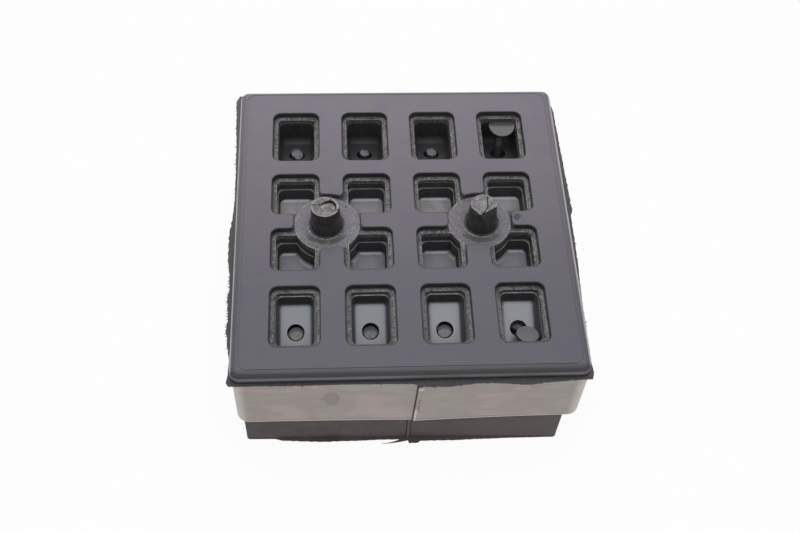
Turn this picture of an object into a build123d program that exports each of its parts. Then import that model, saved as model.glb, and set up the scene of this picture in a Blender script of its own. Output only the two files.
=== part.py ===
from build123d import *
from math import atan2, degrees, radians, sin
import os

# Bonded rubber buffer: one moulded rubber block with sixteen pockets in its top, a perforated
# steel plate bonded in just under the top skin, and a folded steel band round its waist.
# Millimetres. +X runs across the four columns of pockets, +Y points to the back, +Z is up.
# The origin is the middle of the flat base that the buffer stands on.

# Heights
TOP = 51.5                  # the flat top skin
PARTING = 46.75             # upper side of the flash where the mould halves met
FLASH_THICK = 0.5
BAND_BOTTOM = 19.0          # lower edge of the band, and top of the lower block

# Upper slab
SLAB_X, SLAB_Y = 116.5, 121.0
SLAB_CORNER = 3.2
SHOULDER = 2.5              # rolled upper edge
CREASE_INSETS = (2.8, 2.1)  # fine groove along the shoulder: from the sides, and from the front and back
CREASE_WIDTH, CREASE_DEPTH = 0.35, 0.18
CREASE_CORNER = 3.0

# Steel band
BAND_X, BAND_Y = 116.8, 121.0
BAND_SHIFT = 0.4            # the band sits this far to the right of the slab
BAND_WALL = 1.5
BAND_CORNER = 4.2
BAND_EDGE = 0.5             # bevel on the outer lower edge
BOW_LEFT, BOW_RIGHT = 0.6, 1.1   # how far each end springs out of the front at the seam
SEAM_X = 1.5                # butt seam in the middle of the front
SEAM_GAP, SEAM_LEAN = 0.5, 0.9
SEAM_RECESS = 0.4           # the rubber in the seam stops this far inside the steel
NICK_WIDTH, NICK_HEIGHT, NICK_DROP = 1.3, 0.8, 2.4

# Lower block
BLOCK_X, BLOCK_Y = 109.7, 116.5
BLOCK_PLACE = (-0.15, -0.3)
BLOCK_TURN = -1.05          # degrees by which the block came out turned under the slab
BLOCK_CORNER = 0.8
BLOCK_FLARE = 1.5           # fillet where its left side meets the core
RIB_X, RIB_WIDTH, RIB_PROUD = 1.9, 1.0, 0.5
RIB_GROOVE = 0.35           # width and depth of the groove on each side of the rib

# Windows and pockets
PITCH = 25.0                # column spacing
WINDOW_WIDTH = 16.6
WINDOW_CORNER = 2.8
MIDDLE_LENGTH, OUTER_LENGTH = 17.5, 22.5
FRONT_EXTRA = 0.7           # the front row's windows run this much further forwards
ROW_GAP, OUTER_GAP = 6.1, 6.25   # bars between the middle rows, and from a middle row to an outer one
SKIN = 2.25                 # rubber over the plate
WINDOW_EDGE = 0.3           # soft edge round each window
LEDGE = 1.6                 # plate left bare round the inside of each window
POCKET_CORNER = 1.6
STEP_DEPTH, STEP_WIDTH = 6.75, 0.35   # the walls step in here, or right under the plate in the outer rows
LOWER_CORNER = 2.4          # corners of a pocket below its step
MIDDLE_DEPTH = 12.25
OUTER_DEPTH, OUTER_SLOPE = 11.1, 16.4   # at the pocket's centre, and its tilt in degrees
MIDDLE_FILLET, OUTER_FILLET = 1.6, 1.9

# Perforated plate
PLATE_X, PLATE_Y, PLATE_CORNER = 108.0, 112.0, 4.0
PLATE_THICK = 1.5
RUNNER_HOLE = 8.0           # hole in the plate that each peg's runner came up through

# Round openings in the skin, for the two feed pegs; -1 is the left one and 1 the right one
DISC_X = 26.55
DISC_RADIUS = {-1: 11.5, 1: 11.1}
TAB_CORNER = 1.8

# Feed pegs, torn off at the runner
PEG_FOOT = {-1: -26.75, 1: 27.35}   # where each one stands
PEG_TIP = {-1: -27.25, 1: 27.1}     # each one leans a little
PEG_BASE, PEG_TOP, PEG_HEIGHT = {-1: 11.0, 1: 10.9}, {-1: 9.3, 1: 8.7}, 11.2
COLLAR_DIAMETER, COLLAR_HEIGHT, COLLAR_WALL = 12.4, 0.4, 0.35
LEFT_END, LEFT_FALL = 59.0, 10.0    # height of the left end, and the slope to its back
LIP_HEIGHT = 0.4
CRACK_DEPTH = 1.6
LIP_LINE = [(-1.85, 1.1), (0.1, 2.3), (2.15, 3.0), (3.35, 1.9), (3.95, 0.0), (3.65, -1.5)]
CRACK_LINE = [(-1.85, 1.1), (0.2, 1.75), (1.85, 1.8), (2.8, 1.0), (3.45, -0.3), (3.65, -1.5)]
RIGHT_END = 59.2
FACET_LINE = [(-4.25, -1.11), (-1.65, -4.43), (4.15, -1.04)]
FACET_LEAN = 18.0
SPLIT_LINE = [(1.53, 3.18), (1.4, -0.99), (0.52, -2.39), (-0.56, -3.77)]
SPLIT_WIDTH, SPLIT_DEPTH = 0.35, 1.5
DISH_RADIUS, DISH_DEPTH = 2.8, 0.25

# Vent holes in the floors of the outer pockets
VENT_DIAMETER, VENT_DEPTH = 5.9, 5.0
VENT_OUTWARD = 0.2          # from the pocket's centre
# Height over the floor, lean of the torn end and diameter of each stub, from left to right
FRONT_STUBS = [(-1.2, -4, 4.8), (-1.3, -8, 4.8), (-1.1, -6, 4.8)]
BACK_STUBS = [(1.8, 24, 4.4), (1.6, 14, 3.6), (1.6, 12, 4.2)]

# Torn flash: (place along the side, width beyond the side), read from left to right and front to back
FRONT_FLASH = [(-58.6, 0.8), (-45, 0.9), (-36, 1.05), (-26, 0.85), (-9, 1.0), (0.8, 1.3), (2, 2.0), (6, 2.4),
               (12, 2.4), (22, 1.5), (28, 1.6), (34, 2.2), (38, 2.3), (44, 1.6), (54, 1.1), (58.6, 0.9)]
RIGHT_FLASH = [(-59.5, 0.9), (-55, 0.65), (-31, 0.8), (-15, 1.5), (4.8, 1.7), (5.6, 2.4), (10, 2.3),
               (35, 1.7), (53.6, 1.3), (57.5, 0.4)]
BACK_FLASH = [(-59, 1.6), (-30, 1.3), (0, 0.9), (30, 1.2), (58, 0.4)]
LEFT_FLASH = [(-60, 1.0), (-57, 0.6), (-52, 0.35), (-48, 1.0), (-45.8, 1.5), (-42.7, 1.35), (-42, 2.0),
              (-36, 1.45), (-27, 1.8), (-25.5, 1.3), (-21, 1.4), (-10, 2.4), (-1, 2.1), (4, 1.5), (14, 0.9),
              (36, 1.2), (59.3, 2.0)]
BASE_FLASH = [(-54, 0.15), (-45, 0.15), (-42.5, 0.8), (-36, 1.2), (-27, 1.4), (-18, 1.15), (-9, 0.8),
              (1.8, 0.6), (2.4, 2.1), (5.7, 2.1), (6.4, 1.35), (19, 1.1), (36, 0.45), (54, 0.1)]
BASE_FLASH_THICK = 0.4
FLASH_STEP = 1.3            # spacing of the tears along a torn edge

# Derived places
PLATE_TOP = TOP - SKIN
PLATE_BOTTOM = PLATE_TOP - PLATE_THICK
BAND_TOP = PARTING - FLASH_THICK
COLUMNS = [(index - 1.5) * PITCH for index in range(4)]
MIDDLE_Y = (ROW_GAP + MIDDLE_LENGTH) / 2
OUTER_Y = ROW_GAP / 2 + MIDDLE_LENGTH + OUTER_GAP + OUTER_LENGTH / 2


def block(size_x, size_y, corner, low, high, shift=0.0):
    """An upright block with round corners between two heights."""
    outline = Pos(shift, 0, low) * RectangleRounded(size_x, size_y, corner)
    return extrude(outline, amount=high - low)


def raggedness(place):
    """A torn edge's unevenness at a place along it, between -1 and 1."""
    return 0.5 * sin(2.9 * place) + 0.3 * sin(5.3 * place + 1.1) + 0.2 * sin(11.7 * place + 0.4)


def torn_edge(stations, tear):
    """Evenly spaced (place, width) pairs along a torn edge that follows the given stations."""
    edge = []
    for (start, first), (end, last) in zip(stations, stations[1:]):
        steps = max(1, round((end - start) / FLASH_STEP))
        for step in range(steps):
            share = step / steps
            place = start + share * (end - start)
            width = first + share * (last - first)
            edge.append((place, max(0.1, width * (1 + tear * raggedness(place)))))
    edge.append(stations[-1])
    return edge


def parting_flash():
    """The thin fin that leaked out between the mould halves, torn off unevenly all round."""
    half_x, half_y = SLAB_X / 2, SLAB_Y / 2
    front = [(x, -half_y - width) for x, width in torn_edge(FRONT_FLASH, 0.12)]
    right = [(half_x + width, y) for y, width in torn_edge(RIGHT_FLASH, 0.1)]
    back = [(x, half_y + width) for x, width in torn_edge(BACK_FLASH, 0.15)]
    left = [(-half_x - width, y) for y, width in torn_edge(LEFT_FLASH, 0.16)]
    outline = front + right + back[::-1] + left[::-1]
    face = make_face(Polyline(*outline, close=True))
    return extrude(Pos(0, 0, BAND_TOP) * face, amount=FLASH_THICK)


def base_flash():
    """The fin along the front of the base, with a burr and one loose strand beside the rib."""
    front_y = -BLOCK_Y / 2
    outline = [(x, front_y - width) for x, width in torn_edge(BASE_FLASH, 0.12)]
    outline += [(BASE_FLASH[-1][0] - 1, front_y + 2), (BASE_FLASH[0][0] + 1, front_y + 2)]
    fin = extrude(make_face(Polyline(*outline, close=True)), amount=BASE_FLASH_THICK)
    upper = Spline((1.3, front_y + 0.5), (-1.9, front_y - 1.2), (-7.3, front_y - 2.3))
    lower = Spline((-7.3, front_y - 2.3), (-2.1, front_y - 1.9), (2.7, front_y - 0.9))
    root = Line(lower @ 1, upper @ 0)
    strand = extrude(make_face(Curve() + [upper, lower, root]), amount=BASE_FLASH_THICK)
    return fin + strand


def slab():
    """The upper slab with its rolled shoulder and the fine crease inside it."""
    body = block(SLAB_X, SLAB_Y, SLAB_CORNER, BAND_TOP, TOP)
    body = fillet(body.faces().sort_by(Axis.Z)[-1].edges(), SHOULDER)
    side_inset, end_inset = CREASE_INSETS
    outer = RectangleRounded(SLAB_X - 2 * side_inset, SLAB_Y - 2 * end_inset, CREASE_CORNER)
    groove = outer - offset(outer, amount=-CREASE_WIDTH, kind=Kind.INTERSECTION)
    return body - extrude(Pos(0, 0, TOP - CREASE_DEPTH) * groove, amount=CREASE_DEPTH + 1)


def band_block(inset, bevel=0.0):
    """The space inside the band's outline drawn in by some distance; its front bows out to the seam."""
    front_y = -BAND_Y / 2 + inset
    middle_x, middle_z = SEAM_X + SEAM_GAP / 2, (BAND_BOTTOM + BAND_TOP) / 2
    lean = degrees(atan2(SEAM_LEAN, BAND_TOP - BAND_BOTTOM))
    halves = []
    for side, bow in ((-1, BOW_LEFT), (1, BOW_RIGHT)):
        outline = Pos(BAND_SHIFT, 0) * RectangleRounded(
            BAND_X - 2 * inset, BAND_Y - 2 * inset, BAND_CORNER - inset)
        corner_x = BAND_SHIFT + side * (BAND_X / 2 - BAND_CORNER)
        arc = TangentArc((corner_x, front_y), (middle_x - 2 * side, front_y - bow), tangent=(-side, 0))
        rest = Polyline(arc @ 1, (middle_x - 2 * side, front_y + 1), (corner_x, front_y + 1), arc @ 0)
        outline += make_face(Curve() + [arc, rest])
        body = extrude(Pos(0, 0, BAND_BOTTOM) * outline, amount=BAND_TOP - BAND_BOTTOM)
        if bevel:
            body = chamfer(body.faces().sort_by(Axis.Z)[0].edges(), bevel)
        side_of_seam = Pos(middle_x, 0, middle_z) * Rot(0, lean, 0) * Pos(side * 60, 0, 0) * Box(120, 200, 60)
        halves.append(body & side_of_seam)
    return halves[0] + halves[1]


def core():
    """The rubber inside the band, with the tongue that fills the band's seam."""
    return band_block(BAND_WALL) + seam_slot(BAND_WALL - SEAM_RECESS + BOW_LEFT)


def seam_slot(depth):
    """The slanting gap between the band's two ends, from its inner face outwards."""
    inner_y = -BAND_Y / 2 + BAND_WALL
    top_x, bottom_x = SEAM_X + SEAM_LEAN / 2, SEAM_X - SEAM_LEAN / 2
    outline = Polyline((bottom_x, BAND_BOTTOM), (bottom_x + SEAM_GAP, BAND_BOTTOM),
                       (top_x + SEAM_GAP, BAND_TOP), (top_x, BAND_TOP), close=True)
    plane = Plane(origin=(0, inner_y, 0), x_dir=(1, 0, 0), z_dir=(0, -1, 0))
    return extrude(plane * make_face(outline), amount=depth)


def lower_block():
    """The block under the band, with a flare under its left edge, a rib down its front and its torn flash."""
    body = block(BLOCK_X, BLOCK_Y, BLOCK_CORNER, 0, BAND_BOTTOM)
    left_x = -BLOCK_X / 2
    flare = Pos(left_x - BLOCK_FLARE / 2, 0, BAND_BOTTOM - BLOCK_FLARE / 2) * Box(
        BLOCK_FLARE, BLOCK_Y - 2 * BLOCK_CORNER, BLOCK_FLARE)
    hollow = Pos(left_x - BLOCK_FLARE, 0, BAND_BOTTOM - BLOCK_FLARE) * Rot(90, 0, 0) * Cylinder(
        BLOCK_FLARE, BLOCK_Y)
    front_y = -BLOCK_Y / 2
    rib = Pos(RIB_X, front_y, BAND_BOTTOM / 2) * Box(RIB_WIDTH, 2 * RIB_PROUD, BAND_BOTTOM)
    body += (flare - hollow) + rib
    for side in (-1, 1):
        groove_x = RIB_X + side * (RIB_WIDTH + RIB_GROOVE) / 2
        body -= Pos(groove_x, front_y, BAND_BOTTOM / 2) * Box(RIB_GROOVE, 2 * RIB_GROOVE, BAND_BOTTOM)
    return Pos(*BLOCK_PLACE, 0) * Rot(0, 0, BLOCK_TURN) * (body + base_flash())


def window_places():
    """The centre and length of every window."""
    rows = [(-OUTER_Y - FRONT_EXTRA / 2, OUTER_LENGTH + FRONT_EXTRA), (-MIDDLE_Y, MIDDLE_LENGTH),
            (MIDDLE_Y, MIDDLE_LENGTH), (OUTER_Y, OUTER_LENGTH)]
    return [(x, y, length) for x in COLUMNS for y, length in rows]


def round_opening(side):
    """The round opening at one peg merged with its four windows, their tabs' tips rounded off."""
    outline = Pos(side * DISC_X, 0) * Circle(DISC_RADIUS[side])
    for x in (side * PITCH / 2, side * PITCH * 1.5):
        for y in (-MIDDLE_Y, MIDDLE_Y):
            outline += Pos(x, y) * RectangleRounded(WINDOW_WIDTH, MIDDLE_LENGTH, WINDOW_CORNER)
    centre, radius = Vector(side * DISC_X, 0, 0), DISC_RADIUS[side]
    tips = [corner for corner in outline.vertices() if abs((corner.center() - centre).length - radius) < 0.01]
    return fillet(tips, TAB_CORNER)


def skin_openings():
    """Every opening through the top skin, down to the plate."""
    outlines = [round_opening(-1), round_opening(1)]
    for x, y, length in window_places():
        if length != MIDDLE_LENGTH:
            outlines.append(Pos(x, y) * RectangleRounded(WINDOW_WIDTH, length, WINDOW_CORNER))
    cutters = []
    for outline in outlines:
        cutter = extrude(Pos(0, 0, PLATE_TOP) * outline, amount=SKIN)
        rim = extrude(Pos(0, 0, TOP - WINDOW_EDGE) * outline, amount=WINDOW_EDGE, taper=-45)
        cutters += [cutter, rim]
    return cutters


def pocket_outline(x, y, length, inset=0.0, corner=POCKET_CORNER):
    """A pocket's outline, cut back where the disc round a peg covers it."""
    size = (WINDOW_WIDTH - 2 * (LEDGE + inset), length - 2 * (LEDGE + inset))
    outline = Pos(x, y) * RectangleRounded(*size, corner)
    if length == MIDDLE_LENGTH:
        side = 1 if x > 0 else -1
        outline -= Pos(side * DISC_X, 0) * Circle(DISC_RADIUS[side] + inset)
    return outline


def pocket(x, y, length):
    """The hollow of one pocket under the plate, its walls stepped in and its floor's edge rounded."""
    lower_outline = pocket_outline(x, y, length, STEP_WIDTH, LOWER_CORNER)
    if length == MIDDLE_LENGTH:
        floor, step_z = TOP - MIDDLE_DEPTH, TOP - STEP_DEPTH
        upper = extrude(Pos(0, 0, step_z) * pocket_outline(x, y, length), amount=PLATE_BOTTOM - step_z)
        lower = extrude(Pos(0, 0, floor) * lower_outline, amount=step_z - floor)
        rim = lower.faces().sort_by(Axis.Z)[0].edges()
        return upper + fillet(rim, MIDDLE_FILLET)
    below = sloping_floor(x, y) * Pos(0, 0, -30) * Box(60, 60, 60)
    lower = extrude(lower_outline, amount=PLATE_BOTTOM) - below
    rim = lower.faces().sort_by(Axis.Z)[0].edges()
    return fillet(rim, OUTER_FILLET)


def sloping_floor(x, y):
    """The place of an outer pocket's floor, which falls outwards."""
    side = 1 if y > 0 else -1
    return Pos(x, side * OUTER_Y, TOP - OUTER_DEPTH) * Rot(-side * OUTER_SLOPE, 0, 0)


def vent_mouth(x, y):
    """The place of a vent's mouth in its sloping floor."""
    side = 1 if y > 0 else -1
    return sloping_floor(x, y) * Pos(0, side * VENT_OUTWARD, 0)


def vent(x, y):
    """The round hole in an outer pocket's floor, square to the slope."""
    return vent_mouth(x, y) * Pos(0, 0, -VENT_DEPTH / 2) * Cylinder(VENT_DIAMETER / 2, VENT_DEPTH)


def torn_plug(x, y, height, lean, diameter):
    """The stub left in a vent hole, its end torn off on a slant; height counts from the floor."""
    length = VENT_DEPTH + height
    stub = Cone(diameter / 2 + 0.2, diameter / 2 - 0.2, length + 1)
    tear = Pos(0, 0, (length + 1) / 2 + 3) * Rot(lean, 0.6 * lean, 0) * Pos(0, 0, 1.5) * Box(20, 20, 11)
    return vent_mouth(x, y) * Pos(0, 0, -VENT_DEPTH + length / 2) * (stub - tear)


def strand(foot, tip, diameter):
    """The stem of a stub that pulled out of its vent hole."""
    run = Vector(*tip) - Vector(*foot)
    return extrude(Plane(origin=foot, z_dir=run) * Circle(diameter / 2), amount=run.length)


def stub_disc(diameter, thick):
    """The flat disc that formed at the end of such a stub."""
    return fillet(Cylinder(diameter / 2, thick).edges(), 0.25)


def leaning_stub():
    """The front right stub: its disc lies almost level in front of its vent hole."""
    x = COLUMNS[-1]
    stem = strand((x - 1.95, -OUTER_Y + 3.15, 36.5), (x + 1.6, -OUTER_Y - 4.55, 43.75), 2.8)
    return stem + Pos(x + 2.0, -OUTER_Y - 5.35, 44.5) * Rot(-16, 3, 0) * stub_disc(7.7, 1.3)


def folded_stub():
    """The back right stub: its disc is folded along the middle, the rear half hanging down."""
    x, fold_y, fold_z = COLUMNS[-1] + 0.8, OUTER_Y + 4.6, 51.0
    disc = stub_disc(9.5, 1.2)
    front_half = Rot(10, 0, 0) * (disc & Pos(0, -9.9, 0) * Box(20, 20, 20))
    back_half = Rot(-38, 0, 0) * (disc & Pos(0, 9.9, 0) * Box(20, 20, 20))
    foot = (COLUMNS[-1] - 0.2, OUTER_Y - 0.4, TOP - OUTER_DEPTH - VENT_DEPTH)
    stem = strand(foot, (x - 0.1, fold_y - 0.25, fold_z - 0.7), 3.2)
    place = Pos(x, fold_y, fold_z)
    return stem + place * front_half + place * back_half


def peg(side):
    """A feed peg, tapered and leaning a little, standing in a low collar on the plate."""
    foot = Pos(PEG_FOOT[side], 0, PLATE_TOP)
    upright = (Align.CENTER, Align.CENTER, Align.MIN)
    collar = Cylinder(COLLAR_DIAMETER / 2, COLLAR_HEIGHT, align=upright)
    collar -= Pos(0, 0, 0.05) * Cylinder(COLLAR_DIAMETER / 2 - COLLAR_WALL, COLLAR_HEIGHT, align=upright)
    runner = Cylinder(RUNNER_HOLE / 2, PLATE_THICK, align=(Align.CENTER, Align.CENTER, Align.MAX))
    tip = Pos(PEG_TIP[side], 0, PLATE_TOP + PEG_HEIGHT) * Circle(PEG_TOP[side] / 2)
    shank = loft([foot * Circle(PEG_BASE[side] / 2), tip], ruled=True)
    shank -= left_tear() if side < 0 else right_tear()
    return foot * (collar + runner) + shank


def left_tear():
    """What broke off the left peg: its end falls to the back, with a crescent crack inside a raised lip."""
    end = Rot(-LEFT_FALL, 0, 0) * Pos(0, 0, 5) * Box(20, 20, 10)
    lip_line = Spline(*LIP_LINE)
    behind = Polyline(lip_line @ 1, (9, LIP_LINE[-1][1]), (9, 9), (-9, 9), (-9, LIP_LINE[0][1]), lip_line @ 0)
    lip = extrude(Pos(0, 0, -5) * make_face(Curve() + [lip_line, behind]), amount=10)
    crack = extrude(Pos(0, 0, -CRACK_DEPTH) * make_face(Curve() + [lip_line, Spline(*CRACK_LINE)]), amount=10)
    return Pos(PEG_TIP[-1], 0, LEFT_END) * ((end - lip) + crack + Pos(0, 0, LIP_HEIGHT) * end)


def right_tear():
    """What broke off the right peg: two steep facets meet in front of a dished end with a split in it."""
    broken = Pos(0, 0, 5) * Box(20, 20, 10)
    for start, end in zip(FACET_LINE, FACET_LINE[1:]):
        along = Vector(*end) - Vector(*start)
        outward = Vector(along.Y, -along.X, 0).normalized() + Vector(0, 0, sin(radians(FACET_LEAN)))
        broken += Plane(origin=start, x_dir=along, z_dir=outward) * Pos(0, 0, 5) * Box(30, 30, 10)
    for start, end in zip(SPLIT_LINE, SPLIT_LINE[1:]):
        along = Vector(*end) - Vector(*start)
        cut = Box(along.length + SPLIT_WIDTH, SPLIT_WIDTH, 2 * SPLIT_DEPTH)
        broken += Plane(origin=start, x_dir=along, z_dir=(0, 0, 1)) * Pos(along.length / 2, 0, 0) * cut
    sphere_radius = (DISH_RADIUS ** 2 + DISH_DEPTH ** 2) / (2 * DISH_DEPTH)
    broken += Pos(-0.9, 1.06, sphere_radius - DISH_DEPTH) * Sphere(sphere_radius)
    return Pos(PEG_TIP[1], 0, RIGHT_END) * broken


def stubs_left_in_vents():
    """What was left in each vent: six torn plugs, and two strands with their discs."""
    stubs = [leaning_stub(), folded_stub()]
    for x, front, back in zip(COLUMNS, FRONT_STUBS, BACK_STUBS):
        stubs.append(torn_plug(x, -OUTER_Y, *front))
        stubs.append(torn_plug(x, OUTER_Y, *back))
    return stubs


def perforated_plate():
    """The steel plate under the skin: a hole at every pocket, and the whole disc left round each peg."""
    outline = RectangleRounded(PLATE_X, PLATE_Y, PLATE_CORNER)
    for x, y, length in window_places():
        outline -= pocket_outline(x, y, length)
    for side in (-1, 1):
        outline -= Pos(PEG_FOOT[side], 0) * Circle(RUNNER_HOLE / 2)
    return extrude(Pos(0, 0, PLATE_BOTTOM) * outline, amount=PLATE_THICK)


def steel_band():
    """The strip folded round the block, its ends meeting in a slanting butt seam at the front."""
    nick_x = SEAM_X + SEAM_LEAN / 2 + SEAM_GAP
    nick = Pos(nick_x + NICK_WIDTH / 2 - 0.3, -BAND_Y / 2 - BOW_RIGHT, BAND_TOP - NICK_DROP) * Box(
        NICK_WIDTH + 0.6, 2 * (BAND_WALL - SEAM_RECESS), NICK_HEIGHT)
    return band_block(0, BAND_EDGE) - band_block(BAND_WALL) - seam_slot(BAND_WALL + 2) - nick


def rubber_body():
    """The whole moulding, hollowed for the plate and opened by its windows, pockets and vents."""
    body = slab() + core() + lower_block() + parting_flash()
    body -= perforated_plate() + [Pos(PEG_FOOT[side], 0, PLATE_BOTTOM + PLATE_THICK / 2) * Cylinder(
        RUNNER_HOLE / 2, PLATE_THICK) for side in (-1, 1)]
    for cutter in skin_openings():
        body -= cutter
    for x, y, length in window_places():
        body -= pocket(x, y, length)
        body -= extrude(Pos(0, 0, PLATE_BOTTOM) * pocket_outline(x, y, length), amount=PLATE_THICK)
        if length != MIDDLE_LENGTH:
            body -= vent(x, y)
    for stub in stubs_left_in_vents() + [peg(-1), peg(1)]:
        body += stub
    return body


def main():
    os.makedirs("parts", exist_ok=True)
    nodes = {
        "rubber_body": rubber_body(),
        "perforated_plate": perforated_plate(),
        "steel_band": steel_band(),
    }
    for name, shape in nodes.items():
        export_step(shape, f"parts/{name}.step")


main()
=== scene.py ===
"""Finishes and fine detail for a bonded rubber buffer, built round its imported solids.

The buffer is a rubber block with sixteen pockets in its top, a perforated steel plate under its top skin
and a steel band round its waist. Lengths in the dataclasses are millimetres unless a name says otherwise.
"""

from __future__ import annotations

import logging
import math
from dataclasses import dataclass
from enum import Enum
from typing import Any, Mapping, Sequence, Union

import bpy
from mathutils import Matrix, Vector


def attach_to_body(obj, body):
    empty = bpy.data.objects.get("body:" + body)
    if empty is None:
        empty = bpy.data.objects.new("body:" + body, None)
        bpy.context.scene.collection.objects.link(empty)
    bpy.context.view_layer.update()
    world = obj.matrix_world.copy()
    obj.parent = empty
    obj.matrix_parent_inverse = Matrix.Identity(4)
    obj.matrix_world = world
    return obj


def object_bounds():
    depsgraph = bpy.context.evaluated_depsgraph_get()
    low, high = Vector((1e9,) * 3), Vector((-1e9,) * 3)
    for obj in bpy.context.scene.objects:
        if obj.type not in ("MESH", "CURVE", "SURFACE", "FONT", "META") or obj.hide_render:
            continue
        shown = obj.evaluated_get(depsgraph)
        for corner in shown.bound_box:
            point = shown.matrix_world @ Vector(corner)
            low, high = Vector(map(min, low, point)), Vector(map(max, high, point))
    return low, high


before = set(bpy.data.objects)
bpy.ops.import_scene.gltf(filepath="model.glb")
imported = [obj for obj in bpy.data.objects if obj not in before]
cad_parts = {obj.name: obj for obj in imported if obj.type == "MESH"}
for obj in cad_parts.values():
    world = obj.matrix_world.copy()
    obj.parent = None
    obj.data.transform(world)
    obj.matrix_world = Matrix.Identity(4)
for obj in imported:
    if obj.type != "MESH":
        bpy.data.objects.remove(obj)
CAD_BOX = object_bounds()

MM = 0.001
BODY = "root"

# A soft step is a Pair: the values that give 0 and 1. A soft band is a Triple: where it starts and ends, and how
# wide its edges are. A place is a Pair on the plan or a Triple in space.
Pair = tuple[float, float]
Triple = tuple[float, float, float]
Colour = tuple[float, float, float]
Socket = bpy.types.NodeSocket
Piece = bpy.types.Object
Material = bpy.types.Material
log = logging.getLogger("rubber_buffer")


class Solid(Enum):
    """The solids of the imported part."""

    RUBBER = "rubber_body"
    PLATE = "perforated_plate"
    BAND = "steel_band"


# --- Node trees and expressions ---


class Field:
    """A number that varies over a surface: one output socket that Python's operators work on."""

    def __init__(self, tree: NodeTree, socket: Socket) -> None:
        """Wraps a socket.

        Args:
            tree: The tree that the socket belongs to.
            socket: The output socket that gives the number.
        """
        self.tree = tree
        self.socket = socket

    def __add__(self, other: Operand) -> Field:
        """Self plus other, in either order."""
        return self.tree.calculate("ADD", self, other)

    def __sub__(self, other: Operand) -> Field:
        """Self minus other."""
        return self.tree.calculate("SUBTRACT", self, other)

    def __rsub__(self, other: Operand) -> Field:
        """Other minus self."""
        return self.tree.calculate("SUBTRACT", other, self)

    def __mul__(self, other: Operand) -> Field:
        """Self times other, in either order."""
        return self.tree.calculate("MULTIPLY", self, other)

    __radd__, __rmul__ = __add__, __mul__

    def __truediv__(self, other: Operand) -> Field:
        """Self over other."""
        return self.tree.calculate("DIVIDE", self, other)

    def __abs__(self) -> Field:
        """Self without its sign."""
        return self.tree.calculate("ABSOLUTE", self)

    def least(self, other: Operand) -> Field:
        """The smaller of self and other."""
        return self.tree.calculate("MINIMUM", self, other)

    def most(self, other: Operand) -> Field:
        """The larger of self and other."""
        return self.tree.calculate("MAXIMUM", self, other)

    def choose(self, first: Operand, second: Operand) -> Field:
        """First where self is 0, and second where self is 1."""
        return (1 - self) * first + self * second

    def rise(self, low: float, high: float) -> Field:
        """A soft step, from 0 where self is at low to 1 where it is at high.

        Args:
            low: The value that gives 0.
            high: The value that gives 1. It may lie under low, and the step then falls.

        Returns:
            The step.
        """
        sockets = {"Value": self, "From Min": low, "From Max": high}
        return Field(self.tree, self.tree.result("ShaderNodeMapRange", sockets, interpolation_type="SMOOTHSTEP"))

    def within(self, low: float, high: float, soft: float) -> Field:
        """A soft band, 1 between two values and 0 outside them.

        Args:
            low: Where the band starts.
            high: Where it ends.
            soft: How wide each of its edges is.

        Returns:
            The band.
        """
        return self.rise(low - soft, low) * self.rise(high + soft, high)


Operand = Union[Field, Socket, float, int]
Paint = Union[Colour, Socket]
Sockets = Mapping[Union[str, int], Any]


class NodeTree:
    """A node tree that is filled by calls and by expressions on fields."""

    def __init__(self, tree: bpy.types.NodeTree) -> None:
        """Takes over a tree and empties it."""
        self.tree = tree
        self.tree.nodes.clear()

    def node(self, kind: str, sockets: Sockets | None = None, **settings: Any) -> bpy.types.Node:
        """Adds a node, its settings first and then its sockets.

        Args:
            kind: The node's type.
            sockets: A value, a socket or a field for each input, by name or number.
            settings: Its properties.

        Returns:
            The node.
        """
        made = self.tree.nodes.new(kind)
        for label, value in settings.items():
            setattr(made, label, value)
        for key, value in (sockets or {}).items():
            self.feed(made.inputs[key], value)
        return made

    def result(self, kind: str, sockets: Sockets | None = None, **settings: Any) -> Socket:
        """Adds a node as above and returns its first output."""
        return self.node(kind, sockets, **settings).outputs[0]

    def feed(self, target: Socket, value: Any) -> None:
        """Links or sets one input.

        Args:
            target: The input.
            value: A field, an output socket, a colour or a plain value.
        """
        if isinstance(value, Field):
            value = value.socket
        if isinstance(value, Socket):
            self.tree.links.new(value, target)
        else:
            target.default_value = (*value, 1.0) if target.type == "RGBA" else value

    def calculate(self, operation: str, *operands: Operand) -> Field:
        """Adds a Math node.

        Args:
            operation: What it does.
            operands: Its inputs in order.

        Returns:
            Its result.
        """
        return Field(self, self.result("ShaderNodeMath", dict(enumerate(operands)), operation=operation))

    def split(self, vector: Socket) -> list[Field]:
        """The X, Y and Z parts of a vector."""
        return [Field(self, part) for part in self.node("ShaderNodeSeparateXYZ", {"Vector": vector}).outputs]


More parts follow.
